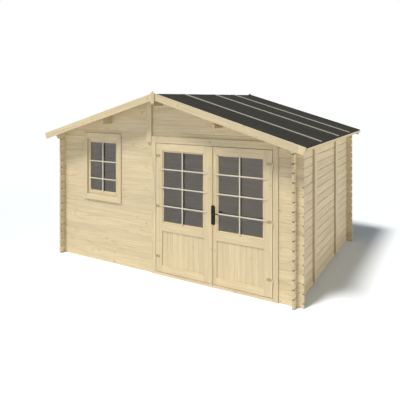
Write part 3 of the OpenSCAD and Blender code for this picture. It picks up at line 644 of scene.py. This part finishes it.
def fasten(name, places, radius, material, body, slot, crossed=False):
    """Heads of screws or nails at places, each a point and the way that it faces."""
    shape = bmesh.new()
    facing = shape.verts.layers.float_vector.new("facing")
    for point, way in places:
        shape.verts.new(point)[facing] = way
    head_mesh = bpy.data.meshes.new("head")
    made = head_shape(crossed)
    made.to_mesh(head_mesh)
    made.free()
    head = bpy.data.objects.new("head", head_mesh)
    bpy.context.scene.collection.objects.link(head)
    mesh = grown(name, shape, fastener_tree, head=head, radius=radius, finish=material)
    bpy.data.objects.remove(head)
    add_piece(name, mesh, material, body, slot)


for side, way in (("left", 1), ("right", -1)):
    low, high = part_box(side + "_leaf_hinges")
    face = high[1] - STRAP_T
    far = high[0] if way == 1 else low[0]
    levels = (high[2] - STRAP_FROM_TOP, (low[2] + high[2]) / 2 + STRAP_OVER_MIDDLE,
              low[2] + STRAP_FROM_FOOT)
    places = [((far - way * away, face, level + rise), FRONT)
              for level in levels for away in SCREW_AWAY for rise in SCREW_RISE]
    fasten(side + "_hinge_screws", places, SCREW_R, yellow_zinc, side + "_leaf", "zinc", crossed=True)


# Nails and screws of the frames and the floor. Countersunk steel screws hold the casings and the
# jambs to the logs, and two steel nails hold each floor board to each bearer.
FRAME_SCREW_R = 0.0036
FRAME_SCREW_INSET = (0.032, 0.045)
JAMB_SCREW_LEVELS = (0.09, 0.46, 0.82, 1.18, 1.54, 1.87)
FLOOR_NAIL_R = 0.0026
BEARER_W = 0.070
BEARER_COUNT = 5


def make_steel():
    """Dull galvanised steel of small fasteners."""
    material, tree, shader = new_material("Galvanised steel")
    place = shade(tree, "ShaderNodeTexCoord").outputs["Object"]
    spangle = noise_of(tree, place, 600.0, 2.0)
    coat = mixed(tree, spangle, (0.40, 0.35, 0.26, 1), (0.52, 0.47, 0.36, 1))
    tree.links.new(coat, shader.inputs["Base Color"])
    shader.inputs["Metallic"].default_value = 0.4
    tree.links.new(ramp_of(tree, spangle, 0.3, 0.7, 0.40, 0.58), shader.inputs["Roughness"])
    return material


steel = make_steel()
low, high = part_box("window_frame")
inset, end = FRAME_SCREW_INSET
places = [((x, y, z), way) for y, way in ((low[1], FRONT), (high[1], BACK))
          for x in (low[0] + inset, high[0] - inset)
          for z in (low[2] + end, (low[2] + high[2]) / 2, high[2] - end)]
for name in ("left_jamb", "right_jamb"):
    low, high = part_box(name)
    places += [(((low[0] + high[0]) / 2, y, z), way)
               for y, way in ((low[1], FRONT), (high[1], BACK)) for z in JAMB_SCREW_LEVELS]
fasten("frame_screws", places, FRAME_SCREW_R, steel, "shed", "zinc", crossed=True)

low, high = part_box("floor_boards")
front, rear = (corner[1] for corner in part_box("floor_bearers"))
count = round((high[0] - low[0]) / FLOOR_BOARD_W)
step = (high[0] - low[0]) / count
rows = [front + BEARER_W / 2 + (rear - front - BEARER_W) * row / (BEARER_COUNT - 1)
        for row in range(BEARER_COUNT)]
places = [((low[0] + (k + share) * step, y, high[2]), (0.0, 0.0, 1.0))
          for k in range(count) for share in (0.25, 0.75) for y in rows]
fasten("floor_nails", places, FLOOR_NAIL_R, steel, "shed", "zinc")


# Lock. Long black plates on both faces, a lever on each joined by a spindle, a key cylinder
# below it and two screws in each plate.
PLATE_SCREW_R = 0.0042
PLATE_SCREW_INSET = 0.016
CYLINDER_DROP = 0.072
CYLINDER_R = 0.0085
CYLINDER_STEM = 0.005
CYLINDER_H = 0.033
CYLINDER_OUT = 0.003
PLUG_R = 0.0062
PLUG_OUT = 0.0012
KEYHOLE_W = 0.0016


def make_black():
    """Satin black powder coat with a fine texture."""
    material, tree, shader = new_material("Black powder coat")
    place = shade(tree, "ShaderNodeTexCoord").outputs["Object"]
    fine = noise_of(tree, place, 1400.0, 2.0)
    worn = noise_of(tree, place, 60.0, 3.0)
    coat = mixed(tree, ramp_of(tree, worn, 0.4, 0.8),
                 (0.013, 0.0115, 0.008, 1), (0.024, 0.021, 0.015, 1))
    tree.links.new(coat, shader.inputs["Base Color"])
    tree.links.new(ramp_of(tree, worn, 0.3, 0.7, 0.50, 0.62), shader.inputs["Roughness"])
    bump = shade(tree, "ShaderNodeBump", {"Strength": 0.25, "Distance": 0.0002, "Height": fine})
    tree.links.new(bump.outputs[0], shader.inputs["Normal"])
    shader.inputs["Specular IOR Level"].default_value = 0.2
    return material


black_coat = make_black()
dress(black_coat, "lock_plates", "door_lever")
low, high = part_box("lock_plates")
middle = (low[0] + high[0]) / 2
places = [((middle, y, z), way) for y, way in ((low[1], FRONT), (high[1], BACK))
          for z in (low[2] + PLATE_SCREW_INSET, high[2] - PLATE_SCREW_INSET)]
fasten("lock_screws", places, PLATE_SCREW_R, black_coat, "right_leaf", "black_metal", crossed=True)


def cylinder_outline():
    """Outline of a lock cylinder's end about its round part: a circle over a narrower stem."""
    foot = CYLINDER_R + CYLINDER_STEM - CYLINDER_H
    bend = math.asin(CYLINDER_STEM / CYLINDER_R)
    arc = [bend + (math.tau - 2 * bend) * k / 20 for k in range(21)]
    upper = [(CYLINDER_R * math.sin(a), -CYLINDER_R * math.cos(a)) for a in arc]
    arc = [math.pi * k / 8 for k in range(9)]
    lower = [(-CYLINDER_STEM * math.cos(a), foot - CYLINDER_STEM * math.sin(a)) for a in arc]
    return upper + lower


def plug_outline(half):
    """Outline of one half of a cylinder's plug: the other half lies past the keyhole."""
    arc = [half + math.pi * (k / 10 - 0.5) for k in range(11)]
    side = math.cos(half) * KEYHOLE_W / 2
    return [(side + PLUG_R * math.cos(a), PLUG_R * math.sin(a)) for a in arc]


shape = bmesh.new()
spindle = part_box("door_lever")
key_z = (spindle[0][2] + spindle[1][2]) / 2 - CYLINDER_DROP
end_levels = ((1.0, -0.0005), (1.0, CYLINDER_OUT - 0.0008), (0.93, CYLINDER_OUT))
plug_levels = ((1.0, CYLINDER_OUT - SEAT), (1.0, CYLINDER_OUT + PLUG_OUT))
forms = ((cylinder_outline(), end_levels), (plug_outline(0.0), plug_levels),
         (plug_outline(math.pi), plug_levels))
for face, out in ((low[1], -1), (high[1], 1)):
    for outline, levels in forms:
        skin(shape, [[shape.verts.new((middle + grow * x, face + out * rise, key_z + grow * z))
                      for x, z in outline] for grow, rise in levels])
bmesh.ops.recalc_face_normals(shape, faces=shape.faces)
add_piece("key_cylinder", shape, black_coat, "right_leaf", "black_metal")


# Roof. Purlins run the length of the shed, and matched boards lie on them down each slope,
# their chamfered edges showing a V joint from below.
PITCH = math.radians(16.6)
ROOF_BOARD_W = 0.087
DECK_T = 0.018
DECK_EDGE = 0.0022
DECK_JOINT = 0.0008
DECK_LIFT = 0.0001
FIRST_ROOF_BOARD = {"right": 40.0, "left": 40.0 + 50 * math.pi}
# The purlins get painted shade on their sides and ends.
dress(spruce("Spruce beams along the roof", "YXZ", (1.0, 0.0, 0.0), edge_shade_level=0.4),
      "ridge_purlin", "side_purlins")
dress(spruce("Spruce strips along the eaves", "YZX", (1.0, 0.0, 0.0)), "eave_trims")


def make_board_row():
    """Geometry tree that lays a board again and again at a step, each with its own number."""
    tree = bpy.data.node_groups.new("Row of boards", "GeometryNodeTree")
    for key, kind in (("Board", "NodeSocketGeometry"), ("Count", "NodeSocketInt"),
                      ("Step", "NodeSocketVector"), ("First number", "NodeSocketFloat"),
                      ("Finish", "NodeSocketMaterial")):
        tree.interface.new_socket(key, in_out="INPUT", socket_type=kind)
    tree.interface.new_socket("Row", in_out="OUTPUT", socket_type="NodeSocketGeometry")
    given = tree.nodes.new("NodeGroupInput").outputs
    line = shade(tree, "GeometryNodeMeshLine", {"Count": given["Count"], "Offset": given["Step"]})
    row = shade(tree, "GeometryNodeInstanceOnPoints",
                {"Points": line.outputs[0], "Instance": given["Board"]})
    index = tree.nodes.new("GeometryNodeInputIndex").outputs[0]
    number = sum_of(tree, "ADD", index, given["First number"])
    marked = shade(tree, "GeometryNodeStoreNamedAttribute",
                   {"Geometry": row.outputs[0], "Name": "board", "Value": number},
                   data_type="FLOAT", domain="INSTANCE")
    real = shade(tree, "GeometryNodeRealizeInstances", {0: marked.outputs[0]})
    done = shade(tree, "GeometryNodeSetMaterial",
                 {"Geometry": real.outputs[0], "Material": given["Finish"]})
    tree.links.new(done.outputs[0], tree.nodes.new("NodeGroupOutput").inputs[0])
    return tree


board_row = make_board_row()


def single_board(low, high, letter, edge, turn):
    """One board of a row, turned and placed: its number comes from the row."""
    shape = board_shape([(low, high, letter, turn)], edge)
    shape.verts.layers.float.remove(shape.verts.layers.float["board"])
    return shape


for side, turn in (("right", 0.0), ("left", math.pi)):
    low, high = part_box(side + "_roof_boards")
    apex = high[2] + DECK_LIFT
    reach = max(abs(low[0]), abs(high[0])) / math.cos(PITCH)
    count = round((high[1] - low[1]) / ROOF_BOARD_W)
    step = (high[1] - low[1]) / count
    half = (step - DECK_JOINT) / 2
    lay = Matrix.Translation((0, low[1] + step / 2, apex)) @ Matrix.Rotation(turn, 4, "Z")
    shape = single_board((DECK_T * math.tan(PITCH), -half, -DECK_T), (reach, half, 0), "X", DECK_EDGE,
                         lay @ Matrix.Rotation(PITCH, 4, "Y"))
    mesh = grown(side + "_roof_row", shape, board_row, count=count, step=(0.0, step, 0.0),
                 first_number=FIRST_ROOF_BOARD[side], finish=planed_boards)
    add_piece(side + "_roof_row", mesh, planed_boards, "shed", "planed_spruce", side + "_roof_boards")


# Trim. Barge boards at both verges, pointed apex boards over their mitre, and upright boards
# that tie the gables and the side walls, all planed spruce and nailed on.
BARGE_W = 0.092
BARGE_NAIL_RISE = 0.022
APEX_NAIL_FOOT = 0.04
APEX_NAIL_TOP = 0.05
BARGE_NAILS = (-1.98, -1.45, -0.917, -0.10, 0.10, 0.917, 1.45, 1.98)
GABLE_BOARD_W = 0.084
GABLE_NAILS = (0.05, 0.20, 0.35, 0.48)
WALL_BOARD_W = 0.104
WALL_NAILS = [0.06 + 0.219 * k for k in range(9)]
TRIM_NAIL_R = 0.0032
# Painted highlight on the barge boards' top edges.
dress(spruce("Spruce boards down the slope", "XZY", (0.5, 0.9, 0.0), slope=PITCH, fresh=0.9),
      "front_barge_boards", "rear_barge_boards")
# Painted shade on the narrow edges of the apex, gable and wall boards.
dress(spruce("Upright spruce with shaded edges", "ZXY", (0.5, 0.9, 0.0), edge_shade_level=0.45),
      "apex_boards", "gable_boards")
dress(spruce("Upright spruce on the sides", "ZYX", (0.9, 0.7, 0.0), edge_shade_level=0.28), "wall_boards")

places = []
low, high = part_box("front_barge_boards")
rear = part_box("rear_barge_boards")[1][1]
for x in BARGE_NAILS:
    level = high[2] - abs(x) * math.tan(PITCH) - BARGE_W / math.cos(PITCH) / 2
    places += [((x, y, level + up), way) for y, way in ((low[1], FRONT), (rear, BACK))
               for up in (-BARGE_NAIL_RISE, BARGE_NAIL_RISE)]
low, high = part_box("apex_boards")
places += [((0.0, y, z), way) for y, way in ((low[1], FRONT), (high[1], BACK))
           for z in (low[2] + APEX_NAIL_FOOT, high[2] - APEX_NAIL_TOP)]
low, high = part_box("gable_boards")
boards = ((low[0] + GABLE_BOARD_W / 2, low[1], FRONT), (high[0] - GABLE_BOARD_W / 2, high[1], BACK))
places += [((x, y, low[2] + up), way) for x, y, way in boards for up in GABLE_NAILS]
low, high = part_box("wall_boards")
across = (low[1] + WALL_BOARD_W / 2, high[1] - WALL_BOARD_W / 2)
places += [((x, y, low[2] + up), (way, 0.0, 0.0)) for x, way in ((low[0], -1.0), (high[0], 1.0))
           for y in across for up in WALL_NAILS]
fasten("trim_nails", places, TRIM_NAIL_R, steel, "shed", "zinc")


# Felt. Mineral roofing felt in four lengths over the ridge, lapped under grey painted battens and
# cut off just past the eaves. Clout nails hold it along the eaves and go through the battens.
FELT_T = 0.0019
FELT_LAP = 0.045
FELT_SEAMS = (-0.857, 0.101, 0.859)
FELT_WAVE = 0.0018
FELT_SHOWS = 0.014
FELT_STEP = 0.05
DECK_CLEAR = 0.0006
VERGE_RISE = 0.0125
VERGE_T = 0.0184
BATTEN_T = 0.010
NAIL_R = 0.004
NAIL_INSET = 0.02
NAIL_STEP = 0.12
FIRST_NAIL = 0.05
EAVE_NAILS = 27
BATTEN_NAILS = (0.15, 0.45, 0.75, 1.05, 1.35, 1.65, 1.95)


def make_felt():
    """Bitumen felt with dark mineral granules, a little paler where they have worn."""
    material, tree, shader = new_material("Mineral roofing felt")
    place = shade(tree, "ShaderNodeTexCoord").outputs["Object"]
    grit = shade(tree, "ShaderNodeTexVoronoi", {"Vector": place, "Scale": 420.0})
    tone = shade(tree, "ShaderNodeSeparateColor", {0: grit.outputs["Color"]}).outputs[0]
    cloud = noise_of(tree, vector_of(tree, "MULTIPLY", place, (1.2, 4.0, 1.2)), 1.0, 4.0)
    dark = mixed(tree, ramp_of(tree, tone, 0.2, 0.95),
                 (0.0245, 0.024, 0.0202, 1), (0.045, 0.0437, 0.0368, 1))
    worn = mixed(tree, ramp_of(tree, cloud, 0.35, 0.8, 0.0, 0.5), dark, (0.053, 0.0512, 0.043, 1))
    tree.links.new(worn, shader.inputs["Base Color"])
    tree.links.new(ramp_of(tree, tone, 0.0, 1.0, 0.80, 0.95), shader.inputs["Roughness"])
    bump = shade(tree, "ShaderNodeBump",
                 {"Strength": 0.5, "Distance": 0.0008, "Height": grit.outputs["Distance"]})
    tree.links.new(bump.outputs[0], shader.inputs["Normal"])
    shader.inputs["Specular IOR Level"].default_value = 0.03
    return material


mineral_felt = make_felt()


def felt_profile(edge, ridge):
    """Points of the felt's underside across the roof, from eave to eave, with their outward ways."""
    slope = Vector((math.sin(PITCH), 0, math.cos(PITCH)))
    half = []
    steps = 46
    run = edge - FELT_T * math.sin(PITCH)
    for k in range(1, steps + 1):
        x = run * k / steps
        half.append((Vector((x, 0, ridge - x * math.tan(PITCH))), slope))
    crown = (Vector((0, 0, ridge)), Vector((0, 0, 1)))
    mirrored = [(Vector((-p.x, 0, p.z)), Vector((-n.x, 0, n.z))) for p, n in reversed(half)]
    return mirrored + [crown] + half


def felt_strip(profile, y0, y1, lapped):
    """One length of felt. Its far end rises over the next one where it is lapped, and the last
    length over the verge board."""
    shape = bmesh.new()
    rows = []
    steps = max(8, round((y1 - y0) / FELT_STEP))
    levels = [(y0 + (y1 - y0) * j / steps, 0.0) for j in range(steps + 1)]
    if lapped:
        levels = [(y, FELT_T if y > y1 - 2 * FELT_LAP - 0.005 else 0.0) for y, _ in levels]
    else:
        levels += [(y1 + 0.0005, VERGE_RISE), (y1 + VERGE_T, VERGE_RISE)]
    for y, lift in levels:
        calm = min(1.0, max(0.0, min(y - y0, y1 - y) / 0.15 - 0.6))
        row = []
        for p, n in profile:
            wave = FELT_WAVE * calm * (0.5 + 0.5 * noise.noise(Vector((p.x * 1.7, y * 2.9, 3.0))))
            foot = p + n * (lift + wave) + Vector((0, y, 0))
            row.append((shape.verts.new(foot), shape.verts.new(foot + n * FELT_T)))
        rows.append(row)
    for a, b in zip(rows, rows[1:]):
        for (a0, a1), (b0, b1), (c0, c1), (d0, d1) in zip(a, b, b[1:], a[1:]):
            shape.faces.new((a1, d1, c1, b1))
            shape.faces.new((a0, b0, c0, d0))
        for k in (0, -1):
            shape.faces.new((a[k][0], a[k][1], b[k][1], b[k][0]))
    for row in (rows[0], rows[-1]):
        for (a0, a1), (b0, b1) in zip(row, row[1:]):
            shape.faces.new((a0, b0, b1, a1))
    bmesh.ops.recalc_face_normals(shape, faces=shape.faces)
    for face in shape.faces:
        face.smooth = True
    return shape


low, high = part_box("right_felt")
deck_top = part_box("right_roof_boards")[1][2]
profile = felt_profile(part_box("eave_trims")[1][0] - FELT_SHOWS, deck_top + DECK_CLEAR)
edges = (low[1], *FELT_SEAMS, high[1])
for k in range(4):
    y0 = edges[k] - (FELT_LAP if k else 0.0)
    y1 = edges[k + 1] + (FELT_LAP if k < 3 else 0.0)
    stands_for = ("left_felt", "right_felt") if k == 0 else ()
    add_piece("felt_length_%d" % (k + 1), felt_strip(profile, y0, y1, k < 3), mineral_felt, "shed",
              "roofing_felt", *stands_for)
dress(make_paint("Grey painted battens", (0.50, 0.49, 0.42, 1), (0.45, 0.44, 0.37, 1),
                 (0.34, 0.33, 0.28, 1)),
      "felt_battens")

slope = profile[-1][1]
outward = {way: Vector((way * slope.x, 0, slope.z)) for way in (-1, 1)}
eave = profile[-1][0] + slope * (FELT_T - SEAT) - NAIL_INSET * Vector((slope.z, 0, -slope.x))
places = [(Vector((way * eave.x, low[1] + FIRST_NAIL + NAIL_STEP * k, eave.z)), outward[way])
          for way in (-1, 1) for k in range(EAVE_NAILS)]
top = high[2] + SEAT
places += [(Vector((way * x, y, top - x * math.tan(PITCH))) + BATTEN_T * outward[way], outward[way])
           for way in (-1, 1) for y in FELT_SEAMS for x in BATTEN_NAILS]
fasten("clout_nails", places, NAIL_R, steel, "shed", "zinc")


# Ground and light. A pale level floor under a bright sky, a soft high sun from the front left,
# and weak fills from the right and the front.
floor_mesh = bpy.data.meshes.new("ground")
floor_mesh.from_pydata([(-60, -60, 0), (60, -60, 0), (60, 60, 0), (-60, 60, 0)], [], [(0, 1, 2, 3)])
ground = bpy.data.objects.new("ground", floor_mesh)
bpy.context.scene.collection.objects.link(ground)
pale, tree, shader = new_material("Pale ground")
shader.inputs["Base Color"].default_value = (0.905, 0.955, 0.99, 1)
shader.inputs["Roughness"].default_value = 1.0
shader.inputs["Specular IOR Level"].default_value = 0.0
floor_mesh.materials.append(pale)

SKY_LEVEL = 0.162
SKY_COLOUR = (0.90, 0.99, 1.16, 1)


def add_sun(name, source, level, angle, colour):
    """Sun from a direction, with its level on a surface that faces it."""
    light = bpy.data.lights.new(name, "SUN")
    light.angle = math.radians(angle)
    light.energy = math.pi * level
    light.color = colour
    lamp = bpy.data.objects.new(name, light)
    lamp.rotation_euler = Vector(source).to_track_quat("Z", "Y").to_euler()
    bpy.context.scene.collection.objects.link(lamp)


add_sun("sun", (-0.185, -0.47, 1.0), 1.0, 12, (1.0, 0.965, 0.92))
add_sun("right fill", (1.0, 0.15, 0.05), 0.44, 40, (1.0, 0.97, 0.92))
add_sun("front fill", (0.0, -1.0, 0.05), 0.14, 40, (1.0, 0.965, 0.92))

world = bpy.data.worlds.new("sky")
world.use_nodes = True
tree = world.node_tree
path = shade(tree, "ShaderNodeLightPath")
seen = sum_of(tree, "MAXIMUM", path.outputs["Is Glossy Ray"], path.outputs["Is Transmission Ray"])
seen = sum_of(tree, "MAXIMUM", path.outputs["Is Camera Ray"], seen)
backdrop = tree.nodes["Background"]
tree.links.new(mixed(tree, seen, SKY_COLOUR, (1, 1, 1, 1)), backdrop.inputs["Color"])
strength = sum_of(tree, "MULTIPLY_ADD", seen, 1 - SKY_LEVEL, SKY_LEVEL)
tree.links.new(strength, backdrop.inputs["Strength"])
bpy.context.scene.world = world

camera = bpy.data.cameras.new("view")
camera.lens = 39.85
camera.sensor_width = 36.0
camera.shift_y = -0.2557
eye = bpy.data.objects.new("view", camera)
eye.location = (3.515, -6.479, 2.459)
eye.rotation_euler = (math.pi / 2, 0.0, 0.5211)
bpy.context.scene.collection.objects.link(eye)
bpy.context.scene.camera = eye
bpy.context.scene.view_settings.view_transform = "Standard"
